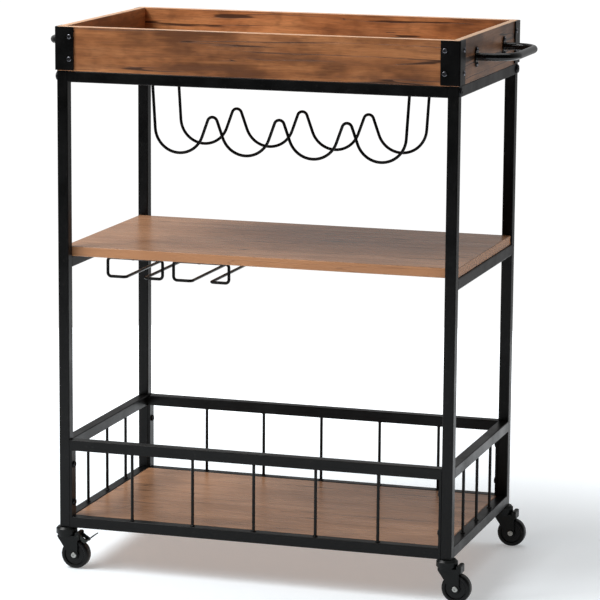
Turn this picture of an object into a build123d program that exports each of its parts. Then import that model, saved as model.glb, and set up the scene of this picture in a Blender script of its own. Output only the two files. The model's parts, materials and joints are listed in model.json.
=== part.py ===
from build123d import *
import math
import os

os.makedirs("parts", exist_ok=True)

# ---------------------------------------------------------------- frame sizes
# The cart stands on the plane z = 0, centred on the origin. X runs along its
# length, from the left end to the right end, and Y runs from front to back.
tube = 18.0  # side of the square steel tube
tube_wall = 1.5  # wall thickness of that tube
tube_corner = 1.6  # outer corner radius of that tube
half_length = 334.5  # origin to the outer faces of the posts, along X
half_depth = 196.5  # origin to the outer faces of the posts, along Y
post_bottom = 70.0  # lower end of the posts
base_rail_top = 88.0
gallery_rail_top = 218.0
shelf_rail_top = 522.0
frame_top = 827.0
plug_length = 12.0  # solid end of a rail that takes a bolt

post_x = half_length - tube / 2  # post centre line
post_y = half_depth - tube / 2
inner_x = half_length - tube  # inner faces of the posts
inner_y = half_depth - tube

# --------------------------------------------------------------------- boards
tray_top = 899.0
tray_wall_thickness = 12.0
tray_base_thickness = 9.0
shelf_thickness = 16.0
shelf_half_length = 332.0
shelf_half_depth = 177.5
base_board_thickness = 15.0
base_board_top = 87.5
base_board_gap = 0.5  # between the lower board and the rails round it
board_edge = 1.2  # rounding of the board edges

# ------------------------------------------------------- brackets and handles
bracket_leg = 32.0
bracket_thickness = 2.5
bracket_bottom = 828.5
bracket_top = 898.5
bracket_screw_inset = 25.0  # outer corner of the bracket to its screws
bracket_screw_heights = (846.5, 882.8)

handle_diameter = 12.5
handle_height = 864.5
handle_leg_y = 92.0
handle_reach = 400.0  # origin to the outermost point of a handle
handle_bend = 42.0  # centre line radius of its two bends
handle_flange_height = 33.0
handle_flange_width = 18.0
handle_flange_thickness = 2.5
handle_screw_offset = 11.2

# --------------------------------------------------------- gallery and fixings
spindle_diameter = 5.0
front_spindle_pitch = 105.0
side_spindle_pitch = 89.25
end_plate_thickness = 4.0
end_plate_screw_heights = (112.0, 175.5)
frame_bolt_height = 818.0

# ------------------------------------------------------------ holes and screws
# Hole and head sizes are radii. A screw up through a rail stands off the middle
# of the rail, so its wide hole is kept on the flat of the tube, clear of the
# rounded corners inside and outside.
frame_bolt_hole = 3.1
plate_screw_hole = 2.6
pilot_hole = 1.6  # in wood, for the small screws
pilot_depth = 9.0
rail_access_hole = 3.8
rail_shank_hole = 2.1
rail_screw_head = 3.3
rail_screw_head_height = 2.4
rail_screw_shank = 2.0
tray_screw_grip = 15.0  # length of the screw in the wood
shelf_screw_grip = 10.0

# ------------------------------------------------------------------ wire racks
wire = 5.0  # diameter of the rack wires
rack_y = 63.0  # the two bottle wires lie this far in front and behind
cradle_pitch = 115.0
cradle_radius = 42.0
cradle_bottom = 684.5  # centre line, lowest point of each cradle
arch_radius = 8.5
arch_top = 745.7  # centre line, highest point between two cradles
rack_leg_x = 220.0
rack_foot_bend = 8.0
rack_foot_length = 20.0

channel_centres = (-216.0, -102.0)
channel_half_width = 47.5
channel_half_slot = 16.3
channel_front = -155.0
channel_back = 125.0
channel_height = 488.3  # centre line of the two rails of a channel
channel_bend = 6.0
strap_thickness = 1.5

# --------------------------------------------------------------------- casters
wheel_radius = 24.0
wheel_width = 17.0
axle_radius = 3.0
trail = 16.5  # swivel axis to wheel axle, towards +X at rest
race_radius = 17.6
fork_gap = 9.6  # wheel centre plane to the inner faces of the fork
fork_plate = 1.8
crown_bottom = 53.6
crown_top = 56.0
stem_radius = 4.0
hump_front = 18.0  # the raised bridge over the wheel, from the swivel axis
hump_back = 25.8
hump_top = 62.5
hump_wall = 1.5
lever_pivot = (23.0, 56.6)  # from the swivel axis, and height
lever_pin_radius = 1.6
lever_arm_out = 9.0  # wheel centre plane to the outer faces of the brake's arms
pedal_width = 22.0
lever_plate = 1.6


def block(x0, x1, y0, y1, z0, z1):
    """A box between two opposite corners."""
    size = (abs(x1 - x0), abs(y1 - y0), abs(z1 - z0))
    return Pos((x0 + x1) / 2, (y0 + y1) / 2, (z0 + z1) / 2) * Box(*size)


def across(origin, direction):
    """A plane at origin that faces along one of the main axes."""
    side = (0, 1, 0) if abs(direction[0]) > 0.5 else (1, 0, 0)
    return Plane(origin=origin, x_dir=side, z_dir=direction)


def square_tube(origin, direction, length, plug_start=0.0, plug_end=0.0):
    """Hollow square tube, with solid plugs at its ends where something is bolted in."""
    outer = RectangleRounded(tube, tube, tube_corner)
    bore_side = tube - 2 * tube_wall
    inner = RectangleRounded(bore_side, bore_side, 0.6)
    plane = across(origin, direction)
    body = extrude(plane * outer, amount=length)
    hollow_start = plane.offset(plug_start)
    hollow = extrude(hollow_start * inner, amount=length - plug_start - plug_end)
    return body - hollow


def rod(start, end, radius):
    """Round bar between two points."""
    line = Line(start, end)
    return sweep(Plane(origin=start, z_dir=line % 0) * Circle(radius), path=line)


def hole(at, direction, radius, depth, rise=1.0):
    """Cutter for a hole: at lies on the surface and direction points out of it."""
    cutter = Cylinder(radius, depth + rise, align=(Align.CENTER, Align.CENTER, Align.MIN))
    return across(at, direction) * Pos(0, 0, -depth) * cutter


def screw(at, direction, head_radius, head_height, shank_radius, length, cross=True):
    """Domed screw: at is the middle of the underside of its head."""
    base = (Align.CENTER, Align.CENTER, Align.MIN)
    head = Cylinder(head_radius, head_height, align=base)
    rim = head.edges().filter_by(GeomType.CIRCLE).sort_by(Axis.Z)[-1]
    head = fillet(rim, head_height * 0.7)
    shank = Pos(0, 0, -length) * Cylinder(shank_radius, length + 0.2, align=base)
    body = head + shank
    if cross:
        slot = head_radius * 1.05
        depth = head_height * 0.45
        for turn in (0, 90):
            cut = Rot(0, 0, turn) * Pos(0, 0, head_height) * Box(slot, 0.9, 2 * depth)
            body = body - cut
    return across(at, direction) * body


def board(x0, x1, y0, y1, z0, z1, edge=board_edge):
    """Wooden panel with every edge slightly rounded."""
    panel = block(x0, x1, y0, y1, z0, z1)
    return fillet(panel.edges(), edge)


def bent_path(points, radii):
    """Straight runs between points, joined by tangent arcs of the given radii."""
    pts = [Vector(*p) for p in points]
    parts = []
    start = pts[0]
    for i in range(1, len(pts) - 1):
        before = (pts[i - 1] - pts[i]).normalized()
        after = (pts[i + 1] - pts[i]).normalized()
        half = math.radians(before.get_angle(after)) / 2
        reach = radii[i - 1] / math.tan(half)
        bisector = (before + after).normalized()
        centre = pts[i] + bisector * (radii[i - 1] / math.sin(half))
        first = pts[i] + before * reach
        last = pts[i] + after * reach
        middle = centre - bisector * radii[i - 1]
        parts.append(Line(start, first))
        parts.append(ThreePointArc(first, middle, last))
        start = last
    parts.append(Line(start, pts[-1]))
    return Wire([e for p in parts for e in p.edges()])


def swept_round(path, radius):
    """Round wire along a path."""
    profile = Plane(origin=path @ 0, z_dir=path % 0) * Circle(radius)
    return sweep(profile, path=path)


def save(shape, name):
    """Write one sub-part."""
    export_step(shape, f"parts/{name}.step")


def joined(shapes):
    """Several loose solids of one sub-part."""
    solids = [s for shape in shapes for s in shape.solids()]
    return Compound(children=solids)


corners = {
    "front_left": (-1, -1),
    "front_right": (1, -1),
    "back_left": (-1, 1),
    "back_right": (1, 1),
}

# ----------------------------------------------------------------------- posts
# Square tube from the casters to the tray. The lower end is solid round the
# caster stem. Two holes take the frame bolt, and two the gallery screws.
for name, (sx, sy) in corners.items():
    post = square_tube((sx * post_x, sy * post_y, post_bottom), (0, 0, 1),
                       frame_top - post_bottom, plug_start=32.0, plug_end=2.0)
    post -= hole((sx * post_x, sy * post_y, post_bottom), (0, 0, -1), stem_radius + 0.1, 27.0)
    outer_face = (sx * half_length, sy * post_y, frame_bolt_height)
    post -= hole(outer_face, (sx, 0, 0), frame_bolt_hole, tube + 1.0)
    for height in end_plate_screw_heights:
        inner_face = (sx * inner_x, sy * post_y, height)
        post -= hole(inner_face, (-sx, 0, 0), plate_screw_hole, 6.0)
    save(post, f"post_{name}")

# ----------------------------------------------------------------------- rails
# Every rail is the same tube, laid flat between two posts.
rail_z = {
    "top": frame_top - tube / 2,
    "shelf": shelf_rail_top - tube / 2,
    "gallery": gallery_rail_top - tube / 2,
    "base": base_rail_top - tube / 2,
}

tray_screw_xs = (-210.0, 210.0)
side_tray_screw_y = 0.0
wall_mid_x = half_length - tray_wall_thickness / 2
wall_mid_y = half_depth - tray_wall_thickness / 2
shelf_screw_ys = (-110.0, 110.0)


def rail_fixing(x, y, top):
    """Cutter for a screw up through a rail: a wide hole below, and a shank hole above."""
    under = (x, y, top - tube)
    wide = hole(under, (0, 0, -1), rail_access_hole, tube_wall + 0.5)
    return wide + hole(under, (0, 0, -1), rail_shank_hole, tube + 1)


for side, sy in (("front", -1), ("back", 1)):
    rail = square_tube((-inner_x, sy * post_y, rail_z["top"]), (1, 0, 0), 2 * inner_x,
                       plug_start=plug_length, plug_end=plug_length)
    for sx in (-1, 1):
        end = (sx * inner_x, sy * post_y, frame_bolt_height)
        rail -= hole(end, (sx, 0, 0), frame_bolt_hole, plug_length + 2)
    for x in tray_screw_xs:
        rail -= rail_fixing(x, sy * wall_mid_y, frame_top)
    save(rail, f"top_rail_{side}")

    plate_inner = inner_x - end_plate_thickness
    for level in ("gallery", "base"):
        save(square_tube((-plate_inner, sy * post_y, rail_z[level]), (1, 0, 0), 2 * plate_inner),
             f"{level}_rail_{side}")

for side, sx in (("left", -1), ("right", 1)):
    rail = square_tube((sx * post_x, -inner_y, rail_z["top"]), (0, 1, 0), 2 * inner_y)
    rail -= rail_fixing(sx * wall_mid_x, side_tray_screw_y, frame_top)
    save(rail, f"top_rail_{side}")

    rail = square_tube((sx * post_x, -inner_y, rail_z["shelf"]), (0, 1, 0), 2 * inner_y)
    for y in shelf_screw_ys:
        rail -= rail_fixing(sx * post_x, y, shelf_rail_top)
    save(rail, f"shelf_rail_{side}")

    for level in ("gallery", "base"):
        save(square_tube((sx * post_x, -inner_y, rail_z[level]), (0, 1, 0), 2 * inner_y),
             f"{level}_rail_{side}")

# ------------------------------------------------------------ gallery spindles
spindle_low = base_rail_top
spindle_high = gallery_rail_top - tube


def spindle(x, y):
    low = (x, y, spindle_low)
    return rod(low, (x, y, spindle_high), spindle_diameter / 2)


for side, sy in (("front", -1), ("back", 1)):
    row = [spindle(i * front_spindle_pitch, sy * post_y) for i in range(-2, 3)]
    save(joined(row), f"gallery_spindles_{side}")

for side, sx in (("left", -1), ("right", 1)):
    row = [spindle(sx * post_x, i * side_spindle_pitch) for i in range(-1, 2)]
    save(joined(row), f"gallery_spindles_{side}")

# --------------------------------------------- end plates of the gallery panels
# A flat plate at each end of the front and back panels is screwed to the inner
# face of a post.
plates = []
plate_screws = []
for sx, sy in corners.values():
    x0 = sx * (inner_x - end_plate_thickness)
    plate = block(x0, sx * inner_x, sy * (post_y - tube / 2), sy * half_depth,
                  post_bottom, gallery_rail_top)
    for height in end_plate_screw_heights:
        plate -= hole((x0, sy * post_y, height), (-sx, 0, 0), plate_screw_hole, end_plate_thickness + 1)
        plate_screws.append(screw((x0, sy * post_y, height), (-sx, 0, 0), 5.6, 3.0, 2.5, 9.0))
    plates.append(plate)
save(joined(plates), "gallery_end_plates")
save(joined(plate_screws), "gallery_plate_screws")

# ----------------------------------------------------------------- frame bolts
bolts = []
for sx, sy in corners.values():
    bolts.append(screw((sx * half_length, sy * post_y, frame_bolt_height), (sx, 0, 0),
                       7.5, 3.6, 3.0, tube + plug_length, cross=False))
hexagon = extrude(RegularPolygon(2.4, 6), amount=2.6)
socketed = []
for (sx, sy), bolt in zip(corners.values(), bolts):
    key = across((sx * (half_length + 1.6), sy * post_y, frame_bolt_height), (sx, 0, 0)) * hexagon
    socketed.append(bolt - key)
save(joined(socketed), "frame_bolts")

# ------------------------------------------------------------------------ tray
# Four walls stand on the frame with the base panel between them. The long
# walls run the full length, and the short walls fit between them.
wall_in_x = half_length - tray_wall_thickness
wall_in_y = half_depth - tray_wall_thickness
corner_x = half_length + bracket_thickness
corner_y = half_depth + bracket_thickness
bracket_screw_x = corner_x - bracket_screw_inset
bracket_screw_y = corner_y - bracket_screw_inset

for side, sy in (("front", -1), ("back", 1)):
    wall = board(-half_length, half_length, sy * wall_in_y, sy * half_depth, frame_top, tray_top)
    for sx in (-1, 1):
        for height in bracket_screw_heights:
            at = (sx * bracket_screw_x, sy * half_depth, height)
            wall -= hole(at, (0, sy, 0), pilot_hole, pilot_depth)
    for x in tray_screw_xs:
        wall -= hole((x, sy * wall_mid_y, frame_top), (0, 0, -1), rail_shank_hole, tray_screw_grip + 1)
    save(wall, f"tray_wall_{side}")

for side, sx in (("left", -1), ("right", 1)):
    wall = board(sx * wall_in_x, sx * half_length, -wall_in_y, wall_in_y, frame_top, tray_top)
    for sy in (-1, 1):
        for height in bracket_screw_heights:
            at = (sx * half_length, sy * bracket_screw_y, height)
            wall -= hole(at, (sx, 0, 0), pilot_hole, pilot_depth)
        for rise in (-1, 1):
            at = (sx * half_length, sy * handle_leg_y, handle_height + rise * handle_screw_offset)
            wall -= hole(at, (sx, 0, 0), pilot_hole, pilot_depth + 1)
    at = (sx * wall_mid_x, side_tray_screw_y, frame_top)
    wall -= hole(at, (0, 0, -1), rail_shank_hole, tray_screw_grip + 1)
    save(wall, f"tray_wall_{side}")

base_panel = block(-wall_in_x, wall_in_x, -wall_in_y, wall_in_y,
                   frame_top, frame_top + tray_base_thickness)
tray_screws = []
tray_fixings = [(x, sy * wall_mid_y) for x in tray_screw_xs for sy in (-1, 1)]
tray_fixings += [(sx * wall_mid_x, side_tray_screw_y) for sx in (-1, 1)]
for x, y in tray_fixings:
    inside_rail = (x, y, frame_top - tube_wall)
    tray_screws.append(screw(inside_rail, (0, 0, -1), rail_screw_head, rail_screw_head_height,
                             rail_screw_shank, tube_wall + tray_screw_grip))
rack_plates = []
rack_screws = []
for sx in (-1, 1):
    for sy in (-1, 1):
        foot_x = sx * (rack_leg_x + rack_foot_bend + rack_foot_length + 8)
        at = (foot_x, sy * rack_y, frame_top - 2.0)
        base_panel -= hole((foot_x, sy * rack_y, frame_top), (0, 0, -1), pilot_hole, 7.0)
        plate = block(sx * (rack_leg_x + rack_foot_bend + 2), foot_x + sx * 8,
                      sy * rack_y - 7, sy * rack_y + 7, frame_top - 2.0, frame_top)
        plate -= hole(at, (0, 0, -1), 1.9, 3.0)
        rack_plates.append(plate)
        rack_screws.append(screw(at, (0, 0, -1), 4.0, 2.2, 1.5, 8.0))
save(base_panel, "tray_base")

# ------------------------------------------------------- tray corner brackets
brackets = []
bracket_screws = []
for sx, sy in corners.values():
    outline = Polyline(
        (sx * corner_x, sy * corner_y), (sx * (corner_x - bracket_leg), sy * corner_y),
        (sx * (corner_x - bracket_leg), sy * half_depth), (sx * half_length, sy * half_depth),
        (sx * half_length, sy * (corner_y - bracket_leg)),
        (sx * corner_x, sy * (corner_y - bracket_leg)), close=True)
    angle = extrude(make_face(outline), amount=bracket_top - bracket_bottom, dir=(0, 0, 1))
    angle = Pos(0, 0, bracket_bottom) * angle
    tall = angle.edges().filter_by(Axis.Z)
    outer_edge = tall.sort_by_distance((sx * corner_x, sy * corner_y, bracket_bottom))[0]
    angle = fillet(outer_edge, 2.4)
    for height in bracket_screw_heights:
        at = (sx * bracket_screw_x, sy * corner_y, height)
        angle -= hole(at, (0, sy, 0), 2.0, bracket_thickness + 1)
        bracket_screws.append(screw(at, (0, sy, 0), 4.0, 1.5, 1.5, 10.5))
        at = (sx * corner_x, sy * bracket_screw_y, height)
        angle -= hole(at, (sx, 0, 0), 2.0, bracket_thickness + 1)
        bracket_screws.append(screw(at, (sx, 0, 0), 4.0, 1.5, 1.5, 10.5))
    brackets.append(angle)
save(joined(brackets), "tray_corner_brackets")
save(joined(bracket_screws), "bracket_screws")

# --------------------------------------------------------------------- handles
handle_screws = []
for side, sx in (("left", -1), ("right", 1)):
    foot = half_length + handle_flange_thickness
    grip = handle_reach - handle_diameter / 2
    path = bent_path([(sx * (foot - 1.0), -handle_leg_y, handle_height),
                      (sx * grip, -handle_leg_y, handle_height),
                      (sx * grip, handle_leg_y, handle_height),
                      (sx * (foot - 1.0), handle_leg_y, handle_height)],
                     [handle_bend, handle_bend])
    handle = swept_round(path, handle_diameter / 2)
    for sy in (-1, 1):
        middle = (sx * half_length, sy * handle_leg_y, handle_height)
        oval = Ellipse(handle_flange_height / 2, handle_flange_width / 2)
        face = Plane(origin=middle, x_dir=(0, 0, 1), z_dir=(sx, 0, 0)) * oval
        flange = extrude(face, amount=handle_flange_thickness)
        handle += flange
        for rise in (-1, 1):
            at = (sx * foot, sy * handle_leg_y, handle_height + rise * handle_screw_offset)
            handle -= hole(at, (sx, 0, 0), 1.8, handle_flange_thickness + 1)
            handle_screws.append(screw(at, (sx, 0, 0), 3.2, 1.6, 1.5, 11.0))
    save(handle, f"handle_{side}")
save(joined(handle_screws), "handle_screws")

# ---------------------------------------------------------------- middle shelf
shelf = board(-shelf_half_length, shelf_half_length, -shelf_half_depth, shelf_half_depth,
              shelf_rail_top, shelf_rail_top + shelf_thickness)
shelf_screws = []
for sx in (-1, 1):
    for y in shelf_screw_ys:
        at = (sx * post_x, y, shelf_rail_top - tube_wall)
        shelf_screws.append(screw(at, (0, 0, -1), rail_screw_head, rail_screw_head_height,
                                  rail_screw_shank, tube_wall + shelf_screw_grip))
        # the pilot holes stay inside the board, clear of its rounded edge
        at = (sx * post_x, y, shelf_rail_top)
        shelf -= hole(at, (0, 0, -1), rail_shank_hole, shelf_screw_grip + 1)

# ---------------------------------------------------------- stemware channels
# Each channel is one closed loop of wire that hangs under the shelf: a bar
# across the front and back, four legs, and two rails a glass stem slides between.
bar_height = shelf_rail_top - wire / 2 - 0.1  # just clear of the shelf
for side, centre in zip(("outer", "inner"), channel_centres):
    halves = []
    for sx in (-1, 1):
        wide = centre + sx * channel_half_width
        near = centre + sx * channel_half_slot
        path = bent_path([(centre, channel_front, bar_height), (wide, channel_front, bar_height),
                          (wide, channel_front, channel_height),
                          (near, channel_front, channel_height),
                          (near, channel_back, channel_height),
                          (wide, channel_back, channel_height),
                          (wide, channel_back, bar_height), (centre, channel_back, bar_height)],
                         [channel_bend] * 6)
        halves.append(swept_round(path, wire / 2))
    channel = halves[0] + halves[1]
    for y, out in ((channel_front, -1), (channel_back, 1)):
        strap = block(centre - 8, centre + 8, y - out * 3, y + out * 15,
                      shelf_rail_top - strap_thickness, shelf_rail_top)
        strap = fillet(strap.edges().filter_by(Axis.Z), 3.0)
        at = (centre, y + out * 9, shelf_rail_top - strap_thickness)
        strap -= hole(at, (0, 0, -1), 1.9, strap_thickness + 1)
        channel += strap
        shelf -= hole((centre, y + out * 9, shelf_rail_top), (0, 0, -1), pilot_hole, 11.0)
        shelf_screws.append(screw(at, (0, 0, -1), 3.8, 2.0, 1.5, 11.5))
    save(channel, f"stemware_channel_{side}")
save(shelf, "middle_shelf")
save(joined(shelf_screws), "middle_shelf_screws")

# ----------------------------------------------------------------- lower board
# It lies between the base rails on small welded tabs, screwed up from below.
reach_x = inner_x - base_board_gap
reach_y = inner_y - base_board_gap
board_under = base_board_top - base_board_thickness
tab_thickness = 2.0
lower = board(-reach_x, reach_x, -reach_y, reach_y, board_under, base_board_top)
tabs = []
tab_screws = []
for x in (-215.0, 0.0, 215.0):
    for sy in (-1, 1):
        tab = block(x - 16, x + 16, sy * (inner_y - 22), sy * inner_y,
                    board_under - tab_thickness, board_under)
        at = (x, sy * (inner_y - 12), board_under - tab_thickness)
        tab -= hole(at, (0, 0, -1), 2.1, tab_thickness + 1)
        lower -= hole((x, sy * (inner_y - 12), board_under), (0, 0, -1), 2.1, 10.5)
        tabs.append(tab)
        tab_screws.append(screw(at, (0, 0, -1), 4.2, 2.2, 2.0, 12.0))
save(lower, "lower_board")
save(joined(tabs), "lower_board_tabs")
save(joined(tray_screws + rack_screws + tab_screws), "underside_screws")

# ----------------------------------------------------------- bottle rack wires
# Each wire runs down from a foot under the tray, through four round cradles
# with a narrow arch between each two, and up to its other foot.
cradle_z = cradle_bottom + cradle_radius
arch_z = arch_top - arch_radius
foot_z = frame_top - 2.0 - wire / 2
foot_end = rack_leg_x + rack_foot_bend + rack_foot_length

rounds = [(-foot_end, foot_z, 0.0, -1)]
rounds.append((-rack_leg_x - rack_foot_bend, foot_z - rack_foot_bend, rack_foot_bend, -1))
for i in range(4):
    rounds.append(((i - 1.5) * cradle_pitch, cradle_z, cradle_radius, 1))
    if i < 3:
        rounds.append(((i - 1) * cradle_pitch, arch_z, arch_radius, -1))
rounds.append((rack_leg_x + rack_foot_bend, foot_z - rack_foot_bend, rack_foot_bend, -1))
rounds.append((foot_end, foot_z, 0.0, -1))


def tangent_ends(a, b):
    """Ends of the straight run that leaves round a and joins round b."""
    dx = b[0] - a[0]
    dz = b[1] - a[1]
    turn = math.asin((b[2] * b[3] - a[2] * a[3]) / math.hypot(dx, dz))
    heading = math.atan2(dz, dx) - turn
    left = (-math.sin(heading), math.cos(heading))
    return [(r[0] - r[3] * r[2] * left[0], r[1] - r[3] * r[2] * left[1]) for r in (a, b)]


def rack_path(y):
    """Straight runs and arcs of one bottle wire, in the plane at y."""
    runs = [tangent_ends(a, b) for a, b in zip(rounds, rounds[1:])]
    edges = []
    for i, (begin, end) in enumerate(runs):
        edges.append(Line((begin[0], y, begin[1]), (end[0], y, end[1])))
        if i + 1 < len(runs):
            cx, cz, radius, way = rounds[i + 1]
            first = math.atan2(end[1] - cz, end[0] - cx)
            after = runs[i + 1][0]
            last = math.atan2(after[1] - cz, after[0] - cx)
            sweep_angle = (last - first) * way % (2 * math.pi) * way
            middle = first + sweep_angle / 2
            on_arc = (cx + radius * math.cos(middle), y, cz + radius * math.sin(middle))
            edges.append(ThreePointArc((end[0], y, end[1]), on_arc, (after[0], y, after[1])))
    return Wire([e for run in edges for e in run.edges()])


for side, sy in (("front", -1), ("back", 1)):
    save(swept_round(rack_path(sy * rack_y), wire / 2), f"bottle_wire_{side}")
save(joined(rack_plates), "bottle_wire_plates")

# --------------------------------------------------------------------- casters
# A stem in the post carries the upper ball race. The fork turns on the stem,
# and the wheel turns on an axle riveted through the fork.
EVEN = (Align.CENTER, Align.CENTER, Align.MIN)
fork_out = fork_gap + fork_plate
run_clearance = 0.08


def upright(radius, z0, z1, x=0.0):
    """Upright round bar between two heights."""
    return Pos(x, 0, z0) * Cylinder(radius, z1 - z0, align=EVEN)


def crosswise(radius, half, x, z):
    """Round bar along Y, centred on the caster's middle plane."""
    return Pos(x, 0, z) * Rot(90, 0, 0) * Cylinder(radius, 2 * half)


def caster_mount():
    cup = Polyline((stem_radius, post_bottom), (14.5, post_bottom), (race_radius, post_bottom - 3.2),
                   (race_radius, 58.7), (race_radius - 1.6, 58.7), (race_radius - 1.6, 66.0),
                   (13.8, 68.3), (stem_radius, 68.3), close=True)
    cup = revolve(make_face(Plane.XZ * cup), axis=Axis.Z)
    rivet = upright(6.0, 50.9, 53.2)
    rivet = fillet(rivet.edges().filter_by(GeomType.CIRCLE).sort_by(Axis.Z)[0], 1.6)
    return cup + upright(stem_radius, 53.0, post_bottom + 25.0) + rivet


def fork(with_brake):
    race = upright(15.2, crown_top, 63.0)
    race = chamfer(race.edges().filter_by(GeomType.CIRCLE).sort_by(Axis.Z)[-1], 1.5)
    crown = upright(15.2, crown_bottom, crown_top)
    crown += block(0, hump_front + hump_wall, -fork_out, fork_out, crown_bottom, crown_top)
    cheek = Polyline((-12.6, crown_top), (trail + 6.0, crown_top), (trail + 6.0, 24.0),
                     (trail + 6.0, 18.0), (trail - 1.5, 18.0), (8.6, 22.0), (-12.6, 53.0), close=True)
    cheek = make_face(Plane.XZ * cheek)
    cheek = extrude(cheek, amount=fork_plate, dir=(0, -1, 0))
    low = cheek.edges().filter_by(Axis.Y).sort_by(Axis.Z)[:3]
    cheek = fillet(low, 3.0)
    near = Pos(0, -fork_gap, 0) * cheek
    far = Pos(0, fork_out, 0) * cheek
    hump = block(hump_front, hump_back, -fork_out, fork_out, 49.5, hump_top)
    hump = fillet(hump.edges().filter_by(Axis.Y).sort_by(Axis.Z)[-2:], 2.6)
    # the bridge is open at the back where a brake comes out of it
    cavity_back = hump_back + 1.0 if with_brake else hump_back - hump_wall
    hump -= block(hump_front + hump_wall, cavity_back, -fork_gap, fork_gap, 48.0, hump_top - hump_wall)
    body = race + crown + near + far + hump
    body -= upright(stem_radius + run_clearance, crown_bottom - 1, 64.0)
    body -= crosswise(axle_radius + 0.05, fork_out + 1, trail, wheel_radius)
    if with_brake:
        body -= crosswise(lever_pin_radius + run_clearance, fork_out + 1, *lever_pivot)
    return body


def wheel():
    half = wheel_width / 2
    bore = axle_radius + run_clearance
    side = [(bore, 9.3), (7.4, 9.3), (8.2, 6.9), (16.6, 6.3), (17.8, half), (20.8, half)]
    outline = [(r, y) for r, y in side] + [(r, -y) for r, y in reversed(side)]
    face = Polyline(*[(r, y) for r, y in outline], close=True)
    hub = revolve(make_face(face), axis=Axis.Y)
    tread = Polyline((20.0, half), (20.8, half), (23.3, half - 1.6), (wheel_radius, half - 4.2),
                     (wheel_radius, 4.2 - half), (23.3, 1.6 - half), (20.8, -half), (20.0, -half),
                     close=True)
    tread = revolve(make_face(tread), axis=Axis.Y)
    return Pos(trail, 0, wheel_radius) * (hub + tread)


def axle():
    bar = crosswise(axle_radius, fork_out + 0.2, trail, wheel_radius)
    for way in (-1, 1):
        head = Cylinder(4.6, 2.0, align=EVEN)
        head = fillet(head.edges().filter_by(GeomType.CIRCLE).sort_by(Axis.Z)[-1], 1.0)
        head -= Pos(0, 0, 0.8) * Cylinder(1.7, 2.0, align=EVEN)
        bar += Plane(origin=(trail, way * fork_out, wheel_radius), x_dir=(1, 0, 0),
                     z_dir=(0, way, 0)) * head
    return bar


def brake():
    px, pz = lever_pivot
    ex, ez = 35.5, 48.3  # where the arms meet the pedal
    reach = math.hypot(ex - px, ez - pz)
    tilt = math.degrees(math.atan2(ez - pz, ex - px))
    arm = extrude(SlotCenterToCenter(reach, 6.0), amount=lever_plate)
    lie = Plane(origin=((px + ex) / 2, 0, (pz + ez) / 2), x_dir=(1, 0, 0), z_dir=(0, -1, 0))
    arm = lie * Rot(0, 0, tilt) * arm
    body = Pos(0, lever_plate - lever_arm_out, 0) * arm + Pos(0, lever_arm_out, 0) * arm
    body += crosswise(lever_pin_radius, fork_out + 0.4, px, pz)
    rise = math.degrees(math.atan2(11.9, 15.1))
    length = 24.0
    plate = Box(length, pedal_width, lever_plate, align=(Align.MIN, Align.CENTER, Align.CENTER))
    tip = plate.edges().filter_by(Axis.Z).sort_by(Axis.X)[-2:]
    plate = fillet(tip, 5.0)
    for i in range(3):
        plate += Pos(length - 4.5 - 3.2 * i, 0, lever_plate / 2) * Box(1.2, pedal_width - 8, 0.9)
    body += Pos(33.7, 0, 45.7) * Rot(0, -rise, 0) * plate
    shoe_angle = math.radians(55.0)
    distance = wheel_radius + 4.1
    shoe = Box(3.0, 2 * lever_arm_out - 0.4, 6.0)
    shoe_x = trail + distance * math.cos(shoe_angle)
    shoe_z = wheel_radius + distance * math.sin(shoe_angle)
    body += Pos(shoe_x, 0, shoe_z) * Rot(0, -55.0, 0) * shoe
    return body


braked = ("front_left", "back_left")
mounts = []
for name, (sx, sy) in corners.items():
    place = Pos(sx * post_x, sy * post_y, 0)
    mounts.append(place * caster_mount())
    save(place * fork(name in braked), f"caster_fork_{name}")
    save(place * wheel(), f"caster_wheel_{name}")
    save(place * axle(), f"caster_axle_{name}")
    if name in braked:
        save(place * brake(), f"caster_brake_{name}")
save(joined(mounts), "caster_stems")
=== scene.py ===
import json
import math

import bpy
import bmesh
from mathutils import Matrix, Vector


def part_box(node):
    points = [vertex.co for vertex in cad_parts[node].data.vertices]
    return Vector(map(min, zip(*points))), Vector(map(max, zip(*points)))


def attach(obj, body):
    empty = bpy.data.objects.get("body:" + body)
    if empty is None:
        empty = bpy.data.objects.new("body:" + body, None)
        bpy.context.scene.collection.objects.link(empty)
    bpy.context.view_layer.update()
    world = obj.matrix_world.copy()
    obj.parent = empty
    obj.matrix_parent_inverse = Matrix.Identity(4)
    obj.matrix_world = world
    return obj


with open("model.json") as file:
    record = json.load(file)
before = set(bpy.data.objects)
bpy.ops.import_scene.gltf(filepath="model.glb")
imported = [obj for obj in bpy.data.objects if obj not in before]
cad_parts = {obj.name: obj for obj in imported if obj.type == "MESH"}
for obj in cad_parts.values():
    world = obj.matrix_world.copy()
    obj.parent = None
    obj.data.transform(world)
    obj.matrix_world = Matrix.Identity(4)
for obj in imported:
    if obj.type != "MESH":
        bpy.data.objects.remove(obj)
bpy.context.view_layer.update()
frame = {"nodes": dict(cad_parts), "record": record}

scene = bpy.context.scene
nodes = frame["nodes"]


# ------------------------------------------------------------------ camera
CAMERA_AT = (1.5259, -4.8326, 1.3566)
YAW, PITCH, ROLL = (math.radians(a) for a in (17.331, -10.274, 0.419))
LENS = 185.86  # mm on the 36 mm sensor


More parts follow.
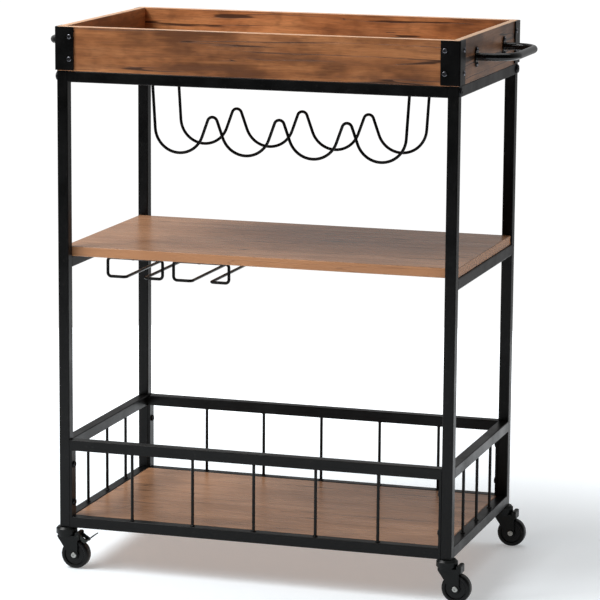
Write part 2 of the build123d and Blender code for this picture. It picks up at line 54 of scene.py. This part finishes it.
def add_camera():
    """Camera that looks along +Y, turned by yaw to the left, down by pitch, then rolled."""
    forward = Vector((-math.sin(YAW) * math.cos(PITCH), math.cos(YAW) * math.cos(PITCH), math.sin(PITCH)))
    level_right = forward.cross(Vector((0, 0, 1))).normalized()
    level_up = level_right.cross(forward)
    right = math.cos(ROLL) * level_right + math.sin(ROLL) * level_up
    up = -math.sin(ROLL) * level_right + math.cos(ROLL) * level_up
    data = bpy.data.cameras.new("camera")
    data.sensor_width = 36.0
    data.lens = LENS
    data.clip_start = 0.1
    data.clip_end = 60.0
    camera = bpy.data.objects.new("camera", data)
    scene.collection.objects.link(camera)
    turn = Matrix((right, up, -forward)).transposed().to_4x4()
    camera.matrix_world = Matrix.Translation(CAMERA_AT) @ turn
    scene.camera = camera


# --------------------------------------------------------- node tree helper
def linear(red, green, blue):
    """Screen colour, 0 to 255, as the linear colour that shaders take."""
    out = []
    for v in (red, green, blue):
        v = v / 255
        out.append(v / 12.92 if v <= 0.04045 else ((v + 0.055) / 1.055) ** 2.4)
    return (*out, 1.0)


class Shader:
    """Builds one material. Its textures read the row frame in metres, as every object sits at the origin."""

    def __init__(self, name):
        self.material = bpy.data.materials.new(name)
        self.material.use_nodes = True
        self.tree = self.material.node_tree
        self.tree.nodes.clear()
        output = self.tree.nodes.new("ShaderNodeOutputMaterial")
        self.surface = self.tree.nodes.new("ShaderNodeBsdfPrincipled")
        self.tree.links.new(self.surface.outputs["BSDF"], output.inputs["Surface"])
        self.coords = self.tree.nodes.new("ShaderNodeTexCoord").outputs["Object"]

    def feed(self, socket, value):
        """Links a socket to another, or sets its value."""
        if isinstance(value, bpy.types.NodeSocket):
            self.tree.links.new(value, socket)
        else:
            socket.default_value = value

    def set(self, **values):
        """Sets the shader's own sockets: words_with_underscores become the sockets' names."""
        for name, value in values.items():
            self.feed(self.surface.inputs[name.replace("_", " ")], value)

    def place(self, scale=(1, 1, 1), offset=(0, 0, 0), vector=None):
        """Coordinates stretched by scale and moved by offset."""
        node = self.tree.nodes.new("ShaderNodeMapping")
        self.feed(node.inputs["Vector"], vector or self.coords)
        node.inputs["Scale"].default_value = scale
        node.inputs["Location"].default_value = offset
        return node.outputs["Vector"]

    def noise(self, vector, scale=1.0, detail=3.0, roughness=0.55, distortion=0.0):
        node = self.tree.nodes.new("ShaderNodeTexNoise")
        self.feed(node.inputs["Vector"], vector)
        node.inputs["Scale"].default_value = scale
        node.inputs["Detail"].default_value = detail
        node.inputs["Roughness"].default_value = roughness
        node.inputs["Distortion"].default_value = distortion
        return node.outputs["Fac"]

    def math(self, operation, a, b=0.0, clamp=False):
        node = self.tree.nodes.new("ShaderNodeMath")
        node.operation = operation
        node.use_clamp = clamp
        self.feed(node.inputs[0], a)
        self.feed(node.inputs[1], b)
        return node.outputs[0]

    def span(self, value, low, high, to_low=0.0, to_high=1.0, smooth=True):
        """value from low..high to to_low..to_high, held at the ends."""
        node = self.tree.nodes.new("ShaderNodeMapRange")
        node.interpolation_type = "SMOOTHSTEP" if smooth else "LINEAR"
        self.feed(node.inputs["Value"], value)
        node.inputs["From Min"].default_value = low
        node.inputs["From Max"].default_value = high
        node.inputs["To Min"].default_value = to_low
        node.inputs["To Max"].default_value = to_high
        return node.outputs["Result"]

    def ramp(self, value, *stops):
        """Colour ramp through (position, colour) stops."""
        node = self.tree.nodes.new("ShaderNodeValToRGB")
        self.feed(node.inputs["Fac"], value)
        row = node.color_ramp.elements
        while len(row) < len(stops):
            row.new(0.5)
        for element, (position, colour) in zip(row, stops):
            element.position = position
            element.color = colour
        return node.outputs["Color"]

    def mix(self, amount, a, b, blend="MIX"):
        node = self.tree.nodes.new("ShaderNodeMix")
        node.data_type = "RGBA"
        node.blend_type = blend
        self.feed(node.inputs["Factor"], amount)
        # the sockets are found by number, because the float, vector and colour ones share their names
        self.feed(node.inputs[6], a)
        self.feed(node.inputs[7], b)
        return node.outputs[2]

    def bump(self, height, distance, strength=1.0):
        node = self.tree.nodes.new("ShaderNodeBump")
        node.inputs["Distance"].default_value = distance
        node.inputs["Strength"].default_value = strength
        self.feed(node.inputs["Height"], height)
        return node.outputs["Normal"]


# --------------------------------------------------------------- materials
def powder_coat(name, colour, roughness=0.34, orange_peel=1.0, specular=0.18):
    """Satin black powder coat: fine orange peel, faint mottling and dust."""
    s = Shader(name)
    peel = s.noise(s.place(), 900, 2, 0.5)
    cloud = s.noise(s.place(offset=(3.1, 1.7, 0.4)), 14, 4, 0.6)
    dust = s.noise(s.place(offset=(0.3, 5.1, 2.2)), 160, 3, 0.6)
    dust = s.span(dust, 0.60, 0.78)
    lighter = tuple(min(1.0, c * 1.9 + 0.001) for c in colour[:3]) + (1.0,)
    tone = s.mix(s.span(cloud, 0.35, 0.75, 0.0, 0.5), colour, lighter)
    tone = s.mix(s.math("MULTIPLY", dust, 0.07), tone, linear(96, 92, 88))
    s.set(Base_Color=tone)
    s.set(Roughness=s.span(cloud, 0.3, 0.7, roughness - 0.05, roughness + 0.07))
    s.surface.inputs["Specular IOR Level"].default_value = specular
    s.set(Normal=s.bump(peel, 0.00005 * orange_peel, 0.6))
    return s.material


def wood(name, grain, seed, light, middle, dark, crack, top_edge=None, side_band=None,
         cracks=1.0, contrast=1.0, gloss=0.36):
    """Rustic oak-look board: tone patches, figure, fibres, pores and broken dark cracks along the grain."""
    s = Shader(name)
    along = {"x": 0, "y": 1, "z": 2}[grain]

    def stretched(across, lengthways, shift=0.0, vector=None):
        scale = [across] * 3
        scale[along] = lengthways
        return s.place(scale, (seed * 1.37 + shift, seed * 2.11 - shift, seed * 0.73 + 2 * shift), vector)

    def wander(across, lengthways, shift, reach, vector=None):
        """Coordinates bent by a slow noise, so that the grain is not ruled straight."""
        field = s.tree.nodes.new("ShaderNodeTexNoise")
        s.feed(field.inputs["Vector"], stretched(across, lengthways, shift))
        field.inputs["Scale"].default_value = 1.0
        field.inputs["Detail"].default_value = 2.0
        moved = s.tree.nodes.new("ShaderNodeVectorMath")
        moved.operation = "MULTIPLY_ADD"
        s.feed(moved.inputs[0], field.outputs["Color"])
        moved.inputs[1].default_value = (reach, reach, reach)
        s.feed(moved.inputs[2], vector or s.coords)
        return moved.outputs["Vector"]

    bent = wander(5.0, 1.2, 7.7, 0.020)
    bent = wander(38.0, 9.0, 2.2, 0.0035, bent)

    patches = s.noise(stretched(17.0, 5.5, 0.0, bent), 1.0, 4, 0.6)
    blotches = s.noise(stretched(34.0, 21.0, 6.1), 1.0, 3, 0.6)
    figure = s.noise(stretched(95.0, 5.0, 1.3, bent), 1.0, 3, 0.6)
    fibres = s.noise(stretched(640.0, 26.0, 2.9, bent), 1.0, 2, 0.6)
    pores = s.noise(stretched(950.0, 70.0, 4.4, bent), 1.0, 1, 0.5)

    body = s.ramp(patches, (0.34, dark), (0.47, middle), (0.62, light))
    body = s.mix(s.span(blotches, 0.46, 0.70, 0.0, 0.55), body, dark)
    body = s.mix(s.span(figure, 0.34, 0.54, 0.42, 0.0), body, dark)
    body = s.mix(s.span(figure, 0.54, 0.72, 0.0, 0.40), body, light)
    body = s.mix(s.span(fibres, 0.36, 0.64, 0.20, 0.0), body, crack)
    pore = s.span(pores, 0.60, 0.74)
    body = s.mix(s.math("MULTIPLY", pore, 0.30), body, crack)
    if contrast < 1.0:
        body = s.mix(1.0 - contrast, body, middle)

    # cracks run where a long stretched noise crosses its middle value, and break off where a mask is low
    seam = s.noise(stretched(46.0, 0.9, 5.9, bent), 1.0, 2.0, 0.5)
    seam = s.math("ABSOLUTE", s.math("SUBTRACT", seam, 0.5))
    mask = s.noise(stretched(30.0, 4.5, 9.2), 1.0, 2, 0.5)
    width = s.span(mask, 0.42, 0.60, 0.0, 0.026 * cracks)
    line = s.math("SUBTRACT", 1.0, s.math("DIVIDE", seam, s.math("ADD", width, 0.0001)), clamp=True)
    core = s.span(line, 0.30, 0.70)
    stain = s.span(line, 0.0, 0.5)
    body = s.mix(s.math("MULTIPLY", stain, 0.38), body, dark)
    body = s.mix(s.math("MULTIPLY", core, 0.85), body, crack)

    normal = s.tree.nodes.new("ShaderNodeNewGeometry").outputs["Normal"]
    split = s.tree.nodes.new("ShaderNodeSeparateXYZ")
    s.feed(split.inputs[0], normal)
    if side_band is not None:
        # a flat board carries a paler band round its sides
        upright = s.span(s.math("ABSOLUTE", split.outputs["Z"]), 0.3, 0.7, 0.6, 0.0)
        body = s.mix(upright, body, side_band)
    if top_edge is not None:
        # the upward edge is painted paler: partly sanded wood, partly painted light from above
        upward = s.span(split.outputs["Z"], 0.35, 0.80)
        sanded_and_lit = s.mix(s.span(fibres, 0.35, 0.7, 0.30, 0.0), top_edge, middle)
        body = s.mix(s.math("MULTIPLY", upward, 0.85), body, sanded_and_lit)

    s.set(Base_Color=body)
    s.set(Roughness=s.span(figure, 0.3, 0.7, gloss + 0.06, gloss - 0.03))
    hollows = s.math("ADD", core, s.math("MULTIPLY", pore, 0.3))
    height = s.math("SUBTRACT", s.math("MULTIPLY", fibres, 0.35), hollows)
    s.set(Normal=s.bump(height, 0.00035, 0.5 * max(contrast, 0.3)))
    return s.material


def bare_metal(name, colour, roughness, brushed=True):
    """Plated metal with turning marks and a little tarnish."""
    s = Shader(name)
    marks = s.noise(s.place((1, 0.15, 1)), 2600, 2, 0.5)
    tarnish = s.noise(s.place(offset=(1, 2, 3)), 120, 3, 0.6)
    darker = tuple(c * 0.55 for c in colour[:3]) + (1.0,)
    s.set(Base_Color=s.mix(s.span(tarnish, 0.45, 0.72, 0.0, 0.7), colour, darker))
    s.set(Metallic=1.0)
    s.set(Roughness=s.span(marks, 0.3, 0.7, roughness - 0.06, roughness + 0.08))
    s.set(Normal=s.bump(marks, 0.00003 if brushed else 0.00001, 0.5))
    return s.material


def moulded(name, colour, roughness):
    """Half-gloss moulded plastic with a faint grain and scuffs."""
    s = Shader(name)
    grain = s.noise(s.place(), 1400, 2, 0.5)
    scuff = s.noise(s.place((1, 1, 1), (4, 1, 2)), 240, 4, 0.65)
    scuff = s.span(scuff, 0.56, 0.74)
    s.set(Base_Color=s.mix(s.math("MULTIPLY", scuff, 0.22), colour, linear(60, 58, 56)))
    s.set(Roughness=s.span(scuff, 0.0, 1.0, roughness, roughness + 0.2))
    s.surface.inputs["Specular IOR Level"].default_value = 0.22
    s.set(Normal=s.bump(grain, 0.00004, 0.5))
    return s.material


BLACK = linear(6, 6, 6)
materials = {
    "powder_coat": powder_coat("powder_coat", BLACK),
    "gloss_black_coat": powder_coat("gloss_black_coat", linear(6, 6, 6), 0.16, 0.3, specular=0.36),
    # the black screws get a pale grey metal: a painted highlight where they catch the light
    "black_screw": bare_metal("black_screw", linear(118, 118, 124), 0.30),
    "caster_steel": powder_coat("caster_steel", linear(6, 8, 7), 0.36, 0.4, specular=0.2),
    "wheel_plastic": moulded("wheel_plastic", linear(5, 5, 5), 0.36),
    "axle_zinc": bare_metal("axle_zinc", linear(168, 168, 164), 0.36),
    "brake_steel": bare_metal("brake_steel", linear(54, 56, 54), 0.42),
}

# the screws on the tray get a pale metal as a painted highlight, and those low on the frame a darker copy of
# it as painted shade
SHADED_SCREWS = ("gallery_plate_screws", "frame_bolts", "underside_screws", "middle_shelf_screws")
shaded_screw = bare_metal("shaded_screw", linear(46, 46, 48), 0.42)

# a coarse orange peel would look like beads on a thin round bar
THIN_WIRES = ("bottle_wire_front", "bottle_wire_back", "stemware_channel", "gallery_spindles")
wire_coat = powder_coat("wire_coat", BLACK, 0.32, 0.12)

OAK = {"light": linear(194, 131, 84), "middle": linear(164, 104, 62), "dark": linear(108, 65, 37),
       "crack": linear(50, 29, 17)}
# copies of OAK: the back and left walls get a paler copy as painted light, the right wall a darker copy as
# painted shade
OAK_PAINTED_LIGHT = {"light": linear(214, 148, 95), "middle": linear(186, 120, 72), "dark": linear(126, 78, 45),
            "crack": linear(52, 30, 18)}
OAK_PAINTED_SHADE = {"light": linear(158, 110, 76), "middle": linear(130, 88, 60), "dark": linear(86, 57, 38),
            "crack": linear(40, 25, 16)}
# RIM: colour of the upward edges, partly sanded wood and partly painted light from above
RIM = linear(224, 184, 148)
BAND = linear(198, 138, 94)
# the two flat boards are painted greyer than the tray: painted reflection of the sheen on their satin tops
FLAT_PAINTED_SHEEN = {"light": linear(206, 159, 122), "middle": linear(175, 130, 97), "dark": linear(124, 90, 66),
        "crack": linear(56, 38, 27)}
boards = {
    "tray_wall_front": wood("oak_tray_front", "x", 3.0, top_edge=RIM, **OAK),
    "tray_wall_back": wood("oak_tray_back", "x", 8.0, top_edge=RIM, **OAK_PAINTED_LIGHT),
    "tray_wall_left": wood("oak_tray_left", "y", 11.0, top_edge=RIM, **OAK_PAINTED_LIGHT),
    "tray_wall_right": wood("oak_tray_right", "y", 17.0, top_edge=RIM, **OAK_PAINTED_SHADE),
    "tray_base": wood("oak_tray_base", "x", 23.0, **OAK),
    "middle_shelf": wood("oak_shelf", "x", 29.0, side_band=BAND,
                         cracks=0.45, contrast=0.45, gloss=0.27, **FLAT_PAINTED_SHEEN),
    "lower_board": wood("oak_lower", "x", 31.0, side_band=BAND,
                        cracks=0.45, contrast=0.38, gloss=0.28, **FLAT_PAINTED_SHEEN),
}


def paint(node, material):
    """Gives a CAD node its material."""
    mesh = nodes[node].data
    mesh.materials.clear()
    mesh.materials.append(material)


for part in frame["record"]["subparts"]:
    if part["node"] in boards:
        paint(part["node"], boards[part["node"]])
    elif part["node"] in SHADED_SCREWS:
        paint(part["node"], shaded_screw)
    elif part["node"].startswith(THIN_WIRES):
        paint(part["node"], wire_coat)
    else:
        paint(part["node"], materials[part["material_slot"]])


# -------------------------------------------------------------- weld beads
# A small uneven bead rings each end of a spindle, where it is welded to a rail.
BEAD_REACH = 0.0021  # how far a bead spreads over the rail, from the spindle's surface
BEAD_RISE = 0.0019  # how far it climbs the spindle
BEAD_SINK = 0.0003  # how far it is let into both
BEAD_STEPS = 32
SPINDLES = {"front": 5, "back": 5, "left": 3, "right": 3}


def bead_ring(bm, x, y, z, up, radius, seed):
    """One closed ring of weld round a spindle of that radius, on a rail face at height z."""
    rings = []
    for step in range(BEAD_STEPS):
        turn = 2 * math.pi * step / BEAD_STEPS
        ripple = 1.0 + 0.14 * math.sin(5 * turn + seed) + 0.09 * math.sin(11 * turn + 2.3 * seed)
        outline = (
            (radius - BEAD_SINK, -BEAD_SINK),
            (radius + BEAD_REACH * ripple, -BEAD_SINK),
            (radius + BEAD_REACH * ripple * 0.72, BEAD_RISE * ripple * 0.42),
            (radius + BEAD_REACH * ripple * 0.30, BEAD_RISE * ripple * 0.80),
            (radius - BEAD_SINK, BEAD_RISE * ripple),
        )
        rings.append([bm.verts.new((x + r * math.cos(turn), y + r * math.sin(turn), z + up * h))
                      for r, h in outline])
    for ring, after in zip(rings, rings[1:] + rings[:1]):
        for i in range(len(ring)):
            j = (i + 1) % len(ring)
            bm.faces.new((ring[i], ring[j], after[j], after[i]))


def add_weld_beads(side):
    """The beads of one row of spindles, whose places come from the row's own box."""
    low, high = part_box(f"gallery_spindles_{side}")
    axis = 0 if side in ("front", "back") else 1
    radius = (high[1 - axis] - low[1 - axis]) / 2
    middle = (high[1 - axis] + low[1 - axis]) / 2
    pitch = (high[axis] - low[axis] - 2 * radius) / (SPINDLES[side] - 1)
    bm = bmesh.new()
    for i in range(SPINDLES[side]):
        at = [middle, middle]
        at[axis] = low[axis] + radius + i * pitch
        bead_ring(bm, *at, low[2], 1, radius, 1.7 * i + len(side))
        bead_ring(bm, *at, high[2], -1, radius, 2.9 * i + len(side))
    bmesh.ops.recalc_face_normals(bm, faces=bm.faces)
    mesh = bpy.data.meshes.new(f"weld_beads_{side}")
    bm.to_mesh(mesh)
    bm.free()
    for face in mesh.polygons:
        face.use_smooth = True
    mesh.materials.append(materials["powder_coat"])
    piece = bpy.data.objects.new(f"weld_beads_{side}", mesh)
    scene.collection.objects.link(piece)
    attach(piece, "cart")


for side in SPINDLES:
    add_weld_beads(side)


# ------------------------------------------------------ floor, light, world
FLOOR_RADIUS = 2.1
GLOW_FROM = 0.38  # distance from the middle at which the floor starts to melt into the backdrop
GLOW_FULL = FLOOR_RADIUS * 0.72
GLOW_UNDER = 0.29  # strength under the object, so that its shadow stays soft


def add_floor():
    """Pale matt disc, slightly cool, because the wood above warms the light on it."""
    s = Shader("pale_floor")
    speck = s.noise(s.place(), 60, 3, 0.5)
    s.set(Base_Color=s.ramp(speck, (0.3, (0.745, 0.81, 0.855, 1)), (0.7, (0.775, 0.84, 0.885, 1))))
    s.set(Roughness=0.7)
    # the floor melts into the white backdrop: it starts to glow away from the object
    away = s.tree.nodes.new("ShaderNodeVectorMath")
    away.operation = "LENGTH"
    s.feed(away.inputs[0], s.coords)
    s.surface.inputs["Emission Color"].default_value = (1, 1, 1, 1)
    glow = s.span(away.outputs["Value"], GLOW_FROM, GLOW_FULL, GLOW_UNDER, 1.0)
    s.feed(s.surface.inputs["Emission Strength"], glow)
    bm = bmesh.new()
    bmesh.ops.create_circle(bm, cap_ends=True, segments=128, radius=FLOOR_RADIUS)
    mesh = bpy.data.meshes.new("floor")
    bm.to_mesh(mesh)
    bm.free()
    mesh.materials.append(s.material)
    floor = bpy.data.objects.new("floor", mesh)
    scene.collection.objects.link(floor)


def add_softbox(name, at, aim, width, height, power):
    """Rectangular area light at a point, turned to face another point."""
    data = bpy.data.lights.new(name, "AREA")
    data.shape = "RECTANGLE"
    data.size = width
    data.size_y = height
    data.energy = power
    light = bpy.data.objects.new(name, data)
    scene.collection.objects.link(light)
    light.location = at
    light.rotation_mode = "QUATERNION"
    light.rotation_quaternion = (Vector(aim) - Vector(at)).to_track_quat("-Z", "Y")


def add_world():
    """White to the camera; for light and reflections bright behind and above, darker in front."""
    world = bpy.data.worlds.new("studio")
    scene.world = world
    world.use_nodes = True
    tree = world.node_tree
    tree.nodes.clear()
    output = tree.nodes.new("ShaderNodeOutputWorld")
    backdrop = tree.nodes.new("ShaderNodeBackground")
    studio = tree.nodes.new("ShaderNodeBackground")
    choose = tree.nodes.new("ShaderNodeMixShader")
    path = tree.nodes.new("ShaderNodeLightPath")
    coords = tree.nodes.new("ShaderNodeTexCoord")
    split = tree.nodes.new("ShaderNodeSeparateXYZ")
    depth = tree.nodes.new("ShaderNodeMapRange")
    backdrop.inputs["Color"].default_value = (1, 1, 1, 1)
    backdrop.inputs["Strength"].default_value = 1.05
    studio.inputs["Color"].default_value = (1, 1, 1, 1)
    tree.links.new(coords.outputs["Generated"], split.inputs[0])
    tree.links.new(split.outputs["Y"], depth.inputs["Value"])
    depth.inputs["From Min"].default_value = -0.25
    depth.inputs["From Max"].default_value = 0.7
    depth.inputs["To Min"].default_value = 0.015
    depth.inputs["To Max"].default_value = 0.37
    tree.links.new(depth.outputs["Result"], studio.inputs["Strength"])
    tree.links.new(path.outputs["Is Camera Ray"], choose.inputs["Fac"])
    tree.links.new(studio.outputs[0], choose.inputs[1])
    tree.links.new(backdrop.outputs[0], choose.inputs[2])
    tree.links.new(choose.outputs[0], output.inputs["Surface"])


add_camera()
add_floor()
add_softbox("key_softbox", (-1.9, -0.9, 2.9), (0, 0, 0.4), 1.5, 1.5, 96)
add_softbox("front_softbox", (-1.5, -2.3, 2.9), (0, 0, 0.5), 1.8, 1.4, 36)
add_softbox("top_softbox", (0.4, 0.5, 3.4), (0, 0, 0.4), 2.4, 2.4, 30)
add_world()
scene.view_settings.view_transform = "Standard"
scene.view_settings.look = "None"
